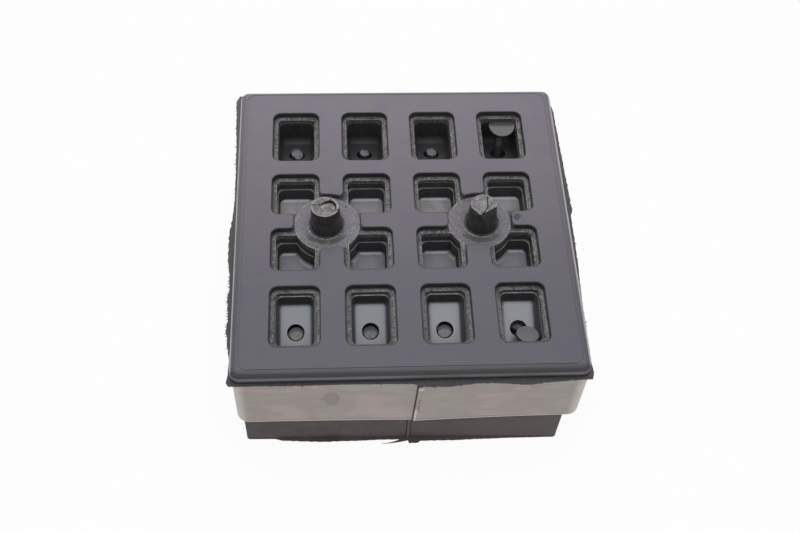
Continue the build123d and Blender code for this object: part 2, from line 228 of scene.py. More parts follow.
class Shader(NodeTree):
    """One material's node tree, with a Principled surface and every pattern in millimetres."""

    def __init__(self, name: str, roughness: float, metallic: float = 0.0) -> None:
        """Starts a material.

        Args:
            name: The material's name.
            roughness: Its plain roughness.
            metallic: 1 for bare metal.
        """
        self.material = bpy.data.materials.new(name)
        self.material.use_nodes = True
        super().__init__(self.material.node_tree)
        self.surface = self.node("ShaderNodeBsdfPrincipled", {"Roughness": roughness, "Metallic": metallic})
        self.node("ShaderNodeOutputMaterial", {"Surface": self.surface.outputs["BSDF"]})
        place = self.node("ShaderNodeTexCoord").outputs["Object"]
        self.place = self.result("ShaderNodeVectorMath", {"Vector": place, "Scale": 1 / MM}, operation="SCALE")
        self.x, self.y, self.z = self.split(self.place)
        self.up = self.split(self.node("ShaderNodeNewGeometry").outputs["Normal"])[2]

    @property
    def right(self) -> Field:
        """1 on the right half of the buffer."""
        return self.x.rise(-1.0, 1.0)

    @property
    def back(self) -> Field:
        """1 on the back half of the buffer."""
        return self.y.rise(-1.0, 1.0)

    def mix(self, share: Operand, first: Paint, second: Paint, blend: str = "MIX") -> Socket:
        """Mixes two colours.

        Args:
            share: How much of the second shows.
            first: The first colour.
            second: The second colour.
            blend: The blend type.

        Returns:
            The mixed colour's socket.
        """
        made = self.node("ShaderNodeMix", {"Factor": share, 6: first, 7: second}, data_type="RGBA", blend_type=blend)
        return made.outputs[2]

    def coats(self, base: Paint, *layers: tuple) -> Paint:
        """Lays coats of colour over one another.

        Args:
            base: The colour under them all.
            layers: Each coat's mask and colour, and its blend type where it isn't a plain one.

        Returns:
            The colour on top.
        """
        for share, *paint in layers:
            base = self.mix(share, base, *paint)
        return base

    def noise(self, size: float, detail: float = 2.0, rough: float = 0.5, warp: float = 0.0,
              stretch: Triple = (1.0, 1.0, 1.0)) -> Field:
        """Cloudy noise around 0.5.

        Args:
            size: How wide one cloud is.
            detail: How many finer layers it has.
            rough: How strong the finer layers are.
            warp: How much it swirls.
            stretch: How many times longer its clouds are along each axis.

        Returns:
            The noise.
        """
        scale = tuple(1.0 / (size * part) for part in stretch)
        spread = self.result("ShaderNodeMapping", {"Vector": self.place, "Scale": scale})
        sockets = {"Vector": spread, "Scale": 1.0, "Detail": detail, "Roughness": rough, "Distortion": warp}
        return Field(self, self.result("ShaderNodeTexNoise", sockets, noise_dimensions="3D"))

    def cells(self, size: float) -> Field:
        """The distance to the nearest of points scattered a size apart, in cell widths."""
        return Field(self, self.result("ShaderNodeTexVoronoi", {"Vector": self.place, "Scale": 1.0 / size}))

    def length(self, first: Field, second: Field) -> Field:
        """The length of a flat vector, from its two parts."""
        return self.calculate("SQRT", first * first + second * second)

    def from_point(self, point: Pair) -> Field:
        """The distance from an upright line through a point of the plan."""
        return self.length(self.x - point[0], self.y - point[1])

    def round_box(self, x: Field, y: Field, width: float, length: Operand, corner: float) -> Field:
        """How far outside a round-cornered rectangle each point is, below 0 inside it.

        Args:
            x: The distance from its centre across.
            y: The distance from its centre along.
            width: Its whole width.
            length: Its whole length.
            corner: Its corner radius.

        Returns:
            The distance from its outline.
        """
        across = abs(x) - (width / 2 - corner)
        along = abs(y) - length / 2 + corner
        outside = self.length(across.most(0.0), along.most(0.0))
        return outside + across.most(along).least(0.0) - corner

    def finish(self, colour: Paint, height: Field, roughness: Field | None = None) -> Material:
        """Feeds the surface and returns the material.

        Args:
            colour: The base colour.
            height: The relief in millimetres.
            roughness: The roughness, where it varies.

        Returns:
            The material.
        """
        self.feed(self.surface.inputs["Base Color"], colour)
        if roughness is not None:
            self.feed(self.surface.inputs["Roughness"], roughness)
        bump = self.result("ShaderNodeBump", {"Strength": 1.0, "Distance": MM, "Height": height})
        self.feed(self.surface.inputs["Normal"], bump)
        return self.material


# --- The layout that finishes and details share ---


@dataclass(frozen=True)
class Layout:
    """Where the windows, pockets, pegs and edges of the buffer are."""

    plate_top: float = 49.25
    slab_x: float = 116.5
    slab_y: float = 121.0
    slab_corner: float = 3.2
    front_turn: Pair = (-57.0, -59.0)
    pitch: float = 25.0
    window_width: float = 16.6
    window_corner: float = 2.8
    middle_y: float = 11.8
    middle_length: float = 17.5
    outer_y: float = 38.05
    outer_length: float = 22.5
    front_extra: float = 0.7
    row_split: Pair = (23.5, 24.5)
    ledge: float = 1.6
    step: float = 0.35
    step_z: float = 44.75
    lip_z: float = 47.75
    floor_corner: float = 2.4
    disc_x: float = 26.55
    peg_x: float = 27.0
    disc_radius: float = 11.5
    disc_loss: float = 0.4
    vent_y: float = 38.25
    seam_x: float = 1.75
    seam_lean: float = 0.033
    seam_z: float = 32.6

    def rows(self) -> list[Pair]:
        """The rows of windows, from the front.

        Returns:
            The middle and length of each row.
        """
        front = (-self.outer_y - self.front_extra / 2, self.outer_length + self.front_extra)
        return [front, (-self.middle_y, self.middle_length), (self.middle_y, self.middle_length),
                (self.outer_y, self.outer_length)]

    def windows(self) -> list[Triple]:
        """The middle and length of each window."""
        columns = [(index - 1.5) * self.pitch for index in range(4)]
        return [(x, y, length) for x in columns for y, length in self.rows()]

    def across(self, shader: Shader) -> Field:
        """The distance across from the middle of the nearest column."""
        return abs(abs(shader.x) - self.pitch) - self.pitch / 2

    def rightwards(self, shader: Shader) -> Field:
        """The distance to the right of the middle of the column."""
        return shader.calculate("MODULO", shader.x + 2 * self.pitch, self.pitch) - self.pitch / 2

    def near_ledges(self, shader: Shader) -> Field:
        """Finds the ledges at the front ends of the windows.

        Args:
            shader: The shader to work in.

        Returns:
            1 on those ledges.
        """
        total: Operand = 0.0
        for y, length in self.rows():
            start = y - length / 2
            total = shader.y.within(start - 0.1, start + self.ledge + 0.1, 0.1).most(total)
        return total

    def outline(self, shader: Shader, inset: float, corner: float) -> Field:
        """How far outside the windows' outlines each point is, the round openings left out.

        Args:
            shader: The shader to work in.
            inset: How far the shape is drawn in.
            corner: Its corner radius.

        Returns:
            The distance, below 0 inside.
        """
        extra = (1 - shader.back) * self.front_extra
        across, width = self.across(shader), self.window_width - 2 * inset
        middle = shader.round_box(across, abs(shader.y) - self.middle_y, width,
                                  self.middle_length - 2 * inset, corner)
        outer = shader.round_box(across, abs(shader.y) - self.outer_y - extra / 2, width,
                                 extra + (self.outer_length - 2 * inset), corner)
        return middle.least(outer)

    def opening(self, shader: Shader) -> Field:
        """How far outside the skin's openings each point is, below 0 inside them."""
        return self.outline(shader, 0.0, self.window_corner).least(self.disc(shader))

    def hollow(self, shader: Shader) -> Field:
        """How far outside the floors of the pockets each point is, below 0 inside them."""
        return self.outline(shader, self.ledge + self.step, self.floor_corner)

    def from_peg(self, shader: Shader) -> Field:
        """The distance from the middle of the nearer round opening."""
        return shader.length(abs(shader.x) - self.disc_x, shader.y)

    def disc(self, shader: Shader) -> Field:
        """How far outside the nearer disc each point is. The right disc is a little smaller."""
        return self.from_peg(shader) - (self.disc_radius - shader.right * self.disc_loss)

    def slab(self, shader: Shader) -> Field:
        """How far outside the outline of the top each point is, below 0 inside it."""
        return shader.round_box(shader.x, shader.y, self.slab_x, self.slab_y, self.slab_corner)

    def on_front(self, shader: Shader) -> Field:
        """1 on the front face."""
        return shader.y.rise(*self.front_turn)

    def beside_seam(self, shader: Shader) -> Field:
        """The distance to the right of the band's leaning seam."""
        return shader.x - self.seam_x - (shader.z - self.seam_z) * self.seam_lean


LAYOUT = Layout()


# --- Finishes ---


@dataclass(frozen=True)
class MouldedRubber:
    """Black moulded rubber: satin skin, dark walls, glossy pocket floors, torn stubs and a dusty lower block, with
    painted shade, highlights and reflections.
    """

    skin: Colour = (0.136, 0.121, 0.148)
    skin_pale: Colour = (0.150, 0.134, 0.163)
    skin_front_painted_shade: Colour = (0.070, 0.067, 0.086)
    violet: Colour = (0.99, 0.95, 1.04)
    grey: Colour = (1.0, 1.04, 0.97)
    shoulder_painted_shade: Colour = (0.024, 0.023, 0.025)
    shoulder_painted_reflection: Colour = (0.204, 0.190, 0.188)
    rim_painted_highlight: Colour = (0.42, 0.395, 0.405)
    wall: Colour = (0.032, 0.031, 0.034)
    side_painted_shade: Colour = (0.062, 0.064, 0.071)
    side_wall_painted_light: Colour = (0.118, 0.118, 0.130)
    # A dark tone for streaks, flash and scuffs, also used as painted shade in recesses, under the shoulder and round
    # the plugs.
    dark_tone_and_shade: Colour = (0.014, 0.014, 0.015)
    step_painted_highlight: Colour = (0.22, 0.225, 0.215)
    floor_painted_light: tuple[Colour, ...] = ((0.152, 0.163, 0.194), (0.195, 0.190, 0.208), (0.300, 0.282, 0.296),
                                  (0.030, 0.029, 0.033))
    row_bounds: tuple[float, ...] = (-24.0, 0.0, 24.0)
    blue_painted_reflection: Colour = (0.160, 0.180, 0.222)
    seam_brown: Colour = (0.150, 0.118, 0.108)
    dusty: Colour = (0.047, 0.038, 0.036)
    dusty_pale: Colour = (0.086, 0.070, 0.065)
    flash: Colour = (0.020, 0.017, 0.019)
    peg_wall: Colour = (0.026, 0.025, 0.025)
    peg_worn: Colour = (0.060, 0.057, 0.058)
    torn: Colour = (0.120, 0.117, 0.124)
    torn_warm: Colour = (0.138, 0.122, 0.120)
    torn_cool: Colour = (0.158, 0.152, 0.158)
    torn_pale_and_highlight: Colour = (0.38, 0.36, 0.35)
    stub: Colour = (0.156, 0.156, 0.165)
    skin_rough: float = 0.46
    floor_rough: float = 0.30
    wall_rough: float = 0.45
    dusty_rough: float = 0.66
    torn_rough: float = 0.55
    well_edge: Pair = (0.35, 0.2)
    well_inside: Pair = (-0.5, -0.7)
    well_top: Pair = (51.42, 51.25)
    well_foot: Pair = (34.75, 35.75)
    below_skin: Pair = (46.3, 46.2)
    tongue: Triple = (-1.2, 1.2, 0.1)
    tongue_front: Pair = (-56.0, -57.0)
    tongue_foot: Pair = (19.0, 19.1)
    fins_z: Triple = (46.2, 46.81, 0.03)
    fins_edge: Pair = (-0.05, 0.1)
    shoulder: Pair = (-2.6, -1.4)
    crest: Pair = (50.5, 50.9)
    shoulder_shade_band: Triple = (49.75, 50.8, 0.4)
    reflection_band: Triple = (48.4, 49.3, 0.5)
    left_rim_highlight: Triple = (47.8, 50.4, 0.4)
    right_rim_highlight: Triple = (49.7, 50.8, 0.3)
    crease: Triple = (-58.75, -58.15, 0.15)
    ripple_patch: tuple[float, float, float, float] = (-43.0, -23.7, 17.0, 4.6)
    ripple_size: float = 0.95
    pit: Pair = (39.6, 0.3)
    pit_edge: Pair = (1.7, 0.7)
    pit_lip: Triple = (1.8, 2.6, 0.6)
    pit_sink: Pair = (1.8, 0.4)
    floor_z: Pair = (44.4, 43.8)
    level: Pair = (0.45, 0.6)
    fillet: Pair = (3.9, 5.9)
    plug_edge: Pair = (2.85, 2.7)
    plug_foot: Pair = (35.8, 36.4)
    plug_top: Pair = (44.5, 44.2)
    leaning_disc: Pair = (39.5, -43.4)
    leaning_edge: Pair = (4.4, 4.2)
    leaning_z: Pair = (41.4, 41.8)
    folded_disc: Pair = (38.3, 42.7)
    folded_edge: Pair = (5.4, 5.2)
    folded_z: Pair = (44.0, 44.4)
    fold: Pair = (38.3, 42.65)
    fold_edge: Pair = (4.75, 4.3)
    peg_edge: Pair = (7.6, 7.4)
    peg_foot: Pair = (49.15, 49.3)
    left_tip: Pair = (-27.25, 0.0)
    tip_rim_highlight: Triple = (4.15, 4.7, 0.12)
    tip_z: Pair = (56.0, 57.5)

    def material(self) -> Material:
        """Builds the material for the whole moulding.

        Returns:
            The material.
        """
        shader = Shader("moulded rubber", self.skin_rough)
        y, z = shader.y, shader.z
        clouds = shader.noise(22.0, 3.0, 0.55)
        dust = shader.noise(9.0, 4.0, 0.6, 0.4)
        ragged = shader.noise(0.9, 3.0, 0.7)
        opening = LAYOUT.opening(shader)
        wells = opening.rise(*self.well_edge) * z.rise(*self.well_top).most(opening.rise(*self.well_inside))
        wells = wells * z.rise(*self.well_foot)
        below = z.rise(*self.below_skin) * (1 - wells)
        in_seam = LAYOUT.beside_seam(shader).within(*self.tongue) * y.rise(*self.tongue_front) * below
        in_seam = in_seam * z.rise(*self.tongue_foot)

        skin, skin_relief, skin_rough = self.top(shader, clouds)
        hollow, hollow_rough = self.pocket(shader)
        # Dust in clouds, and the block paler towards the right.
        block = shader.coats(self.dusty, (dust.rise(0.3, 0.75), self.dusty_pale),
                             (shader.x.rise(-30.0, 50.0) * 0.6, self.dusty_pale))
        flash = shader.coats(self.flash, (ragged.rise(0.45, 0.75) * 0.7, self.peg_worn),
                             (ragged.rise(0.5, 0.3) * 0.7, self.dark_tone_and_shade))
        tongue = shader.mix(ragged.rise(0.4, 0.65), self.dusty, self.seam_brown)
        colour = shader.coats(skin, (below, block), (self.fins(shader), flash), (in_seam, tongue), (wells, hollow))
        colour, torn = self.stubs(shader, colour, wells)

        rough = wells.choose(below.choose(skin_rough, self.dusty_rough), hollow_rough)
        relief = skin_relief * (1 - wells) * (1 - below) + dust * 0.05 * below
        relief = relief + shader.noise(0.7, 3.0, 0.6) * torn * 0.12
        return shader.finish(colour, relief, torn.choose(rough, self.torn_rough))

    def top(self, shader: Shader, clouds: Field) -> tuple[Paint, Field, Field]:
        """The skin: grain, ripples where it flowed, one pit with painted shade, painted shade towards the front, and
        bands of painted shade, reflection and highlight on its shoulder.

        Args:
            shader: The shader to work in.
            clouds: Slow noise.

        Returns:
            Its colour, its relief in millimetres and its roughness.
        """
        x, y, z = shader.x, shader.y, shader.z
        specks = shader.cells(1.1).rise(0.16, 0.05) * shader.noise(5.0).rise(0.5, 0.7)
        tint = shader.noise(6.0)
        uneven = shader.noise(3.0, 3.0, 0.6, 0.0, (4.0, 4.0, 1.0))
        rolled = LAYOUT.slab(shader).rise(*self.shoulder)
        front = LAYOUT.on_front(shader)
        dark = z.within(*self.shoulder_shade_band) * rolled * (0.15 + front * 0.85)
        crest = z.rise(*self.crest) * rolled * front
        crease = y.within(*self.crease) * abs(x).rise(56.0, 55.0) * z.rise(50.6, 51.0)
        rim = z.within(*self.left_rim_highlight) * x.rise(55.0, -55.0) + z.within(*self.right_rim_highlight) * x.rise(-55.0, 55.0)
        foot = front.choose(z.rise(47.5, 47.1), z.rise(48.0, 47.4)) * rolled
        from_pit = shader.from_point(self.pit) + (shader.noise(1.2) - 0.5) * 2.6
        colour = shader.coats(
            self.skin,
            (clouds.rise(0.35, 0.65), self.skin_pale),
            # Painted shade: the skin turns darker towards the front.
            (y.rise(62.0, -55.0), self.skin_front_painted_shade),
            (specks * 0.35, self.torn),
            (tint.rise(0.5, 0.66), self.violet, "MULTIPLY"),
            (tint.rise(0.5, 0.34), self.grey, "MULTIPLY"),
            # Painted shade: a dark band round the rolled shoulder, darker over its crest on the front and in the
            # crease.
            (dark * (0.55 + uneven * 0.7), self.shoulder_painted_shade),
            (crest * 0.55 + crease * 0.43, self.shoulder_painted_shade),
            # Painted reflection: a pale band low on the front shoulder.
            (z.within(*self.reflection_band) * rolled * front * 0.7, self.shoulder_painted_reflection),
            # Painted highlight: pale lines along the shoulders on the left and right sides.
            (rim * rolled * (1 - front) * (0.6 + uneven * 0.7), self.rim_painted_highlight),
            # Painted shade where the shoulder meets the flash.
            (foot * 0.85, self.dark_tone_and_shade),
            # Painted shade inside the pit.
            (from_pit.rise(*self.pit_edge) * 0.95, self.dark_tone_and_shade))

        centre_x, centre_y, width, length = self.ripple_patch
        patch = shader.round_box(x - centre_x, y - centre_y, width, length, 1.5).rise(1.0, -1.5)
        waves = shader.calculate("SINE", (y + tint * 3.0) * (2 * math.pi / self.ripple_size))
        relief = shader.noise(0.55, 2.0, 0.6) * 0.006 + waves * patch * 0.02
        relief = relief + from_pit.within(*self.pit_lip) * 0.06 - from_pit.rise(*self.pit_sink) * 0.3
        rough = (self.skin_rough + (clouds - 0.5) * 0.12) * (1 - rolled * (0.3 - front * 0.5))
        return colour, relief, rough

    def pocket(self, shader: Shader) -> tuple[Paint, Field]:
        """The inside of the pockets: walls with a painted highlight on the step and painted shade, and a floor for
        each row in colours that paint reflections and shade.

        Args:
            shader: The shader to work in.

        Returns:
            The colour and the roughness.
        """
        y, z = shader.y, shader.z
        near, far = LAYOUT.row_split
        inner, front, back = abs(y).rise(far, near), y.rise(-near, -far), y.rise(near, far)
        run = LAYOUT.hollow(shader)
        across = abs(LAYOUT.across(shader))
        side = across.rise(*self.fillet) * front
        sheen = shader.noise(7.0, 2.0, 0.5, 0.8).rise(0.45, 0.65) * (1 - back)
        nearer = y.rise(-9.0, -14.0) * y.rise(-far, -near)
        shade = run.rise(-0.55, -0.3) * inner + run.rise(-0.7, -0.3) * front + run.rise(-1.9, -1.0) * back
        # Painted light: each row's floor colour stands in for reflections, bright in the front and middle rows and
        # dark in the back; the blue is a painted reflection, and the front floors are painted lighter to the right.
        floor = shader.coats(
            self.floor_painted_light[0],
            *((y.rise(bound - 0.5, bound + 0.5), paint) for bound, paint in zip(self.row_bounds, self.floor_painted_light[1:])),
            ((sheen * 0.5).most(nearer), self.blue_painted_reflection),
            (front * shader.x.rise(-10.0, 15.0) * 0.22, self.floor_painted_light[2]),
            # Painted shade: the front floors darker towards the front and along their sides.
            (y.rise(-36.5, -44.0) * 0.65, self.side_painted_shade),
            (side, self.side_painted_shade),
            (shade * (1 - side), self.dark_tone_and_shade))

        streak = shader.noise(2.0, 3.0, 0.6, 0.0, (1.0, 1.0, 3.0))
        # Painted highlight: pale lines along the step and the lip of the pocket walls.
        steps = z.within(LAYOUT.step_z - 0.12, LAYOUT.step_z + 0.12, 0.06) * abs(y).rise(22.0, 21.0)
        steps = steps.most(z.within(LAYOUT.lip_z - 0.25, LAYOUT.lip_z + 0.05, 0.1)) * (1 - back)
        steps = steps * (1 - front * across.rise(4.4, 5.6) * 0.8)
        wall = shader.coats(
            self.wall,
            (streak.rise(0.35, 0.7) * 0.6, self.dark_tone_and_shade),
            # Painted light: the side walls of the front pockets are lighter low down.
            (across.rise(5.2, 6.1) * front * z.rise(47.3, 46.3) * 0.7, self.side_wall_painted_light),
            (steps * (streak * 1.6 - 0.15 + front * 0.15), shader.mix(front * 0.75, self.step_painted_highlight, self.rim_painted_highlight)),
            # Painted shade on the walls just under the skin.
            (z.rise(LAYOUT.lip_z + 1.0, LAYOUT.lip_z + 1.5) * 0.35, self.dark_tone_and_shade))
        bottom = z.rise(*self.floor_z) * shader.up.rise(*self.level)
        rough = bottom.choose(self.wall_rough, self.floor_rough + shade * 0.2)
        return shader.mix(bottom, wall, floor), rough + back * 0.22

    def fins(self, shader: Shader) -> Field:
        """1 on the flash at the parting line."""
        return shader.z.within(*self.fins_z) * LAYOUT.slab(shader).rise(*self.fins_edge)

    def stubs(self, shader: Shader, colour: Paint, wells: Field) -> tuple[Paint, Field]:
        """Dresses the pegs, the plugs in the vents and the two discs on their stems, with painted highlights on the
        pegs' torn ends and painted shade round the plugs and by one disc.

        Args:
            shader: The shader to work in.
            colour: The colour of everything else.
            wells: 1 inside the openings.

        Returns:
            The colour, and 1 where the rubber is torn.
        """
        x, y, z, up = shader.x, shader.y, shader.z, shader.up
        left, front = 1 - shader.right, 1 - shader.back
        mottle = shader.noise(0.8, 4.0, 0.75)
        blotch = shader.noise(1.9, 2.0, 0.6, 0.4)
        scuffs = shader.noise(1.6, 4.0, 0.7, 0.3, (1.0, 1.0, 2.0))
        peg = LAYOUT.from_peg(shader).rise(*self.peg_edge) * z.rise(*self.peg_foot)
        snapped = z.rise(*self.tip_z) * up.rise(0.25, 0.5)
        rim = shader.from_point(self.left_tip).within(*self.tip_rim_highlight) * left
        # Painted highlight on the right peg's sloping brow and round the left peg's torn rim.
        brow_highlight = up.within(0.35, 0.7, 0.12) * shader.right * y.rise(-1.5, 0.5)
        face = shader.coats(
            self.torn_cool,
            (left, self.torn_warm),
            (blotch.rise(0.5, 0.36) * 0.7, self.peg_worn),
            (blotch.rise(0.5, 0.66) * 0.45 + brow_highlight * 0.45, self.torn_pale_and_highlight),
            (mottle.rise(0.5, 0.35) * 0.9, self.peg_worn),
            (mottle.rise(0.52, 0.68) * 0.8 + rim * mottle * 0.9, self.torn_pale_and_highlight))
        wall = shader.coats(self.peg_wall, (scuffs.rise(0.5, 0.66) * 0.8, self.peg_worn),
                            (scuffs.rise(0.5, 0.36) * 0.8, self.dark_tone_and_shade))

        across, along = LAYOUT.across(shader), abs(y) - LAYOUT.vent_y
        vent = shader.length(across, along) + shader.back * ((blotch - 0.5) * 5.0 + 0.85)
        plug = vent.rise(*self.plug_edge) * up.rise(0.4, 0.7) * z.rise(*self.plug_foot) * z.rise(*self.plug_top)
        leaning = shader.from_point(self.leaning_disc).rise(*self.leaning_edge) * z.rise(*self.leaning_z)
        folded = shader.from_point(self.folded_disc).rise(*self.folded_edge) * z.rise(*self.folded_z)
        discs = leaning.most(folded) * LAYOUT.opening(shader).rise(-1.85, -1.95) * up.rise(0.1, 0.4)
        torn = plug.most(discs) * wells
        shadow = (y - self.fold[1]).rise(-0.9, -0.5) * x.rise(30.0, 31.0) * (1 - plug)
        shadow = shadow * shader.from_point(self.fold).rise(*self.fold_edge)
        # Painted shade in the ring between the front plugs and their vents.
        sunken_shade = (shader.length(across, along - 1.2) + (mottle - 0.5) * 0.8).rise(2.35, 2.7) * plug * front
        tone = shader.coats(
            self.stub,
            (mottle.rise(0.35, 0.7) * 0.5, self.torn),
            (discs * (0.36 + shader.back * 0.14), self.peg_worn),
            (blotch.rise(0.52, 0.38) * plug * 0.5, self.peg_worn),
            (shadow.most(sunken_shade) * 0.85, self.dark_tone_and_shade))
        return shader.coats(colour, (peg, shader.mix(snapped, wall, face)), (torn, tone)), torn.most(peg * snapped)


@dataclass(frozen=True)
class CoatedPlate:
    """The perforated plate's coating, mottled with rubber bloom on its ledges and finer on its discs, with painted
    shade at the foot of the skin's walls and a painted highlight on the ledges' inner edges.
    """

    disc: Colour = (0.127, 0.118, 0.136)
    disc_left: Colour = (0.148, 0.138, 0.163)
    ledge: Colour = (0.114, 0.110, 0.114)
    ledge_dark: Colour = (0.038, 0.038, 0.037)
    outline: Colour = (0.024, 0.023, 0.026)
    crumb: Colour = (0.34, 0.33, 0.32)
    rim: Colour = (0.34, 0.325, 0.33)
    cut_edge: Colour = (0.17, 0.172, 0.16)
    rough: float = 0.5
    front_row: Pair = (-23.0, -25.0)
    disc_edge: Pair = (0.1, -0.2)
    disc_rim: Triple = (-0.5, -0.12, 0.12)
    right_wall: Pair = (6.5, 7.5)
    right_bloom: Triple = (7.4, 8.1, 0.2)
    side_shade: Triple = (6.4, 7.3, 0.2)
    foot_arc: Triple = (6.3, 6.6, 0.15)
    foot_dark_band: Triple = (7.2, 8.5, 0.6)

    def material(self) -> Material:
        """Builds the material.

        Returns:
            The material.
        """
        shader = Shader("coated plate", self.rough)
        fine = shader.noise(0.7, 3.0, 0.7)
        patch = shader.noise(3.0, 3.0, 0.6)
        coarse = shader.cells(0.9).rise(0.42, 0.12)
        front_row = shader.y.rise(*self.front_row)
        on_disc = LAYOUT.disc(shader).rise(*self.disc_edge)
        edge = shader.coats(self.cut_edge, (fine.rise(0.35, 0.65), self.ledge_dark),
                            (front_row * 0.8, self.ledge_dark))

        rightwards = LAYOUT.rightwards(shader)
        window = LAYOUT.outline(shader, 0.0, LAYOUT.window_corner)
        # Painted shade along the outer edge of each ledge, at the foot of the skin's wall.
        wall_foot_shade = (window - rightwards.rise(*self.right_wall) * 0.35).rise(-0.7, -0.25)
        # Painted highlight along the ledges' inner edges, in the crumb colour.
        inner_edge_highlight = LAYOUT.outline(shader, LAYOUT.ledge, LAYOUT.floor_corner).rise(0.4, 0.1)
        shaded = abs(rightwards).within(*self.side_shade) * front_row * (patch.rise(0.7, 0.4) * 0.6 + 0.3)
        ledge = shader.coats(
            self.ledge,
            (patch.rise(0.58, 0.38), self.ledge_dark),
            (coarse * patch.rise(0.35, 0.6) * 0.9, self.crumb),
            (rightwards.within(*self.right_bloom) * fine.rise(0.4, 0.6) * 0.45, self.crumb),
            (wall_foot_shade * 0.92, self.outline),
            (inner_edge_highlight * fine.rise(0.4, 0.55) * (1 - front_row * 0.8) * 0.7, self.crumb),
            (fine.rise(0.46, 0.34) * 0.8, self.ledge_dark),
            (shaded.most(LAYOUT.near_ledges(shader)) * 0.8, self.ledge_dark))
        disc = self.round_disc(shader, fine, patch)
        colour = shader.mix(shader.up.rise(0.3, 0.7), edge, shader.mix(on_disc, ledge, disc))
        relief = fine * 0.04 + coarse * (1 - on_disc) * 0.08
        return shader.finish(colour, relief, self.rough + fine * 0.15)

    def round_disc(self, shader: Shader, fine: Field, patch: Field) -> Paint:
        """The discs at the feet of the pegs: a worn rim, darker patches round and in front of the peg's foot, and a
        pale arc of torn rubber.

        Args:
            shader: The shader to work in.
            fine: Fine noise.
            patch: Slow noise.

        Returns:
            Their colour.
        """
        y = shader.y
        rim = LAYOUT.disc(shader).within(*self.disc_rim) * shader.noise(2.5).rise(0.4, 0.6)
        # Darker round the peg's foot, and in a band in front of it.
        foot = shader.length(abs(shader.x) - LAYOUT.peg_x, y) + (fine - 0.5) * 0.9
        near = foot.rise(8.6, 6.3) * patch.rise(0.25, 0.6) * (0.3 + y.rise(0.0, -5.0) * 0.4)
        arc = foot.within(*self.foot_arc) * y.rise(1.0, -2.5) * fine.rise(0.35, 0.6)
        dark_patch = foot.within(*self.foot_dark_band) * y.rise(-4.0, -6.0) * patch.rise(0.25, 0.45)
        return shader.coats(
            self.disc,
            (1 - shader.right, self.disc_left),
            ((fine - 0.5).most(0.0) * 2.6, self.crumb),
            ((0.46 - fine).most(0.0) * 3.0, self.ledge_dark),
            (rim * fine.rise(0.3, 0.55) * 0.55, self.rim),
            (y.rise(-3.0, -8.0) * 0.18, self.ledge_dark),
            (near, self.ledge_dark),
            (arc * 0.75, self.rim),
            (dark_patch * 0.85, self.ledge_dark))


@dataclass(frozen=True)
class BrushedBand:
    """Dull rolled steel: long fine streaks, warm and greenish clouds, a smudge, a pale lower edge and painted
    highlights on its rounded corners.
    """

    steel: Colour = (0.300, 0.262, 0.245)
    warm: Colour = (0.345, 0.290, 0.275)
    green: Colour = (0.320, 0.300, 0.268)
    dark: Colour = (0.150, 0.125, 0.118)
    pale: Colour = (0.56, 0.52, 0.49)
    rough: float = 0.42
    smudge: Pair = (-25.8, 35.1)
    smudge_size: Pair = (2.65, 4.9)
    burnish: Triple = (0.2, 0.95, 0.15)
    burnish_top: Pair = (28.5, 27.0)
    dark_patch: Triple = (0.9, 1.6, 0.4)
    dirt_z: Triple = (27.5, 34.0, 1.5)
    seam_shade: Triple = (-0.7, -0.3, 0.2)
    fold_line: Triple = (20.25, 20.6, 0.25)
    low_edge: Pair = (20.1, 19.7)
    burr: Pair = (1.3, 41.6)
    outside: Pair = (110.6, 114.8)

    def material(self) -> Material:
        """Builds the material.

        Returns:
            The material.
        """
        shader = Shader("brushed steel", self.rough, metallic=1.0)
        x, y, z = shader.x, shader.y, shader.z
        streaks = shader.noise(0.32, 3.0, 0.65, 0.0, (60.0, 60.0, 1.0))
        clouds = shader.noise(11.0, 3.0, 0.55, 0.3, (2.0, 2.0, 1.0))
        front = LAYOUT.on_front(shader)
        beside = LAYOUT.beside_seam(shader)
        burnished = beside.within(*self.burnish) * z.rise(*self.burnish_top)
        burr = shader.length((beside - self.burr[0]) * 0.7, z - self.burr[1]).rise(0.9, 0.5)
        dark_patch = beside.within(*self.dark_patch) * z.within(*self.dirt_z) * shader.noise(1.2).rise(0.4, 0.6)
        # Painted highlight on the band's rounded corners.
        corner = shader.round_box(x - 0.4, y, *self.outside, 0.0).rise(-0.2, 1.2) * abs(x).rise(53.5, 56.5)
        colour = shader.coats(
            self.warm,
            (clouds.rise(0.35, 0.5), self.steel),
            (clouds.rise(0.5, 0.65), self.green),
            (streaks.rise(0.5, 0.8) * 0.3, self.dark),
            (self.smear(shader) * front * 0.38, self.dark),
            (burnished.most(burr) * front * 0.75, self.pale),
            ((dark_patch + beside.within(*self.seam_shade) * 0.2) * front * 0.6, self.dark),
            (z.within(*self.fold_line) * 0.45, self.dark),
            (z.rise(*self.low_edge) * 0.8, self.pale),
            (corner * 0.55, self.pale))
        rough = self.rough + (streaks - 0.5) * 0.3 + (clouds - 0.5) * 0.15
        return shader.finish(colour, streaks * 0.012, rough)

    def smear(self, shader: Shader) -> Field:
        """The smudge: a round patch with a point to the left.

        Args:
            shader: The shader to work in.

        Returns:
            1 inside the smudge.
        """
        across, above = shader.x - self.smudge[0], shader.z - self.smudge[1]
        patch = shader.length(across / self.smudge_size[0], above / self.smudge_size[1])
        point = abs(above - 0.4) - (across + 4.6) * 0.62
        return patch.rise(1.05, 0.9).most(point.rise(0.15, -0.15) * across.rise(0.2, -0.2))


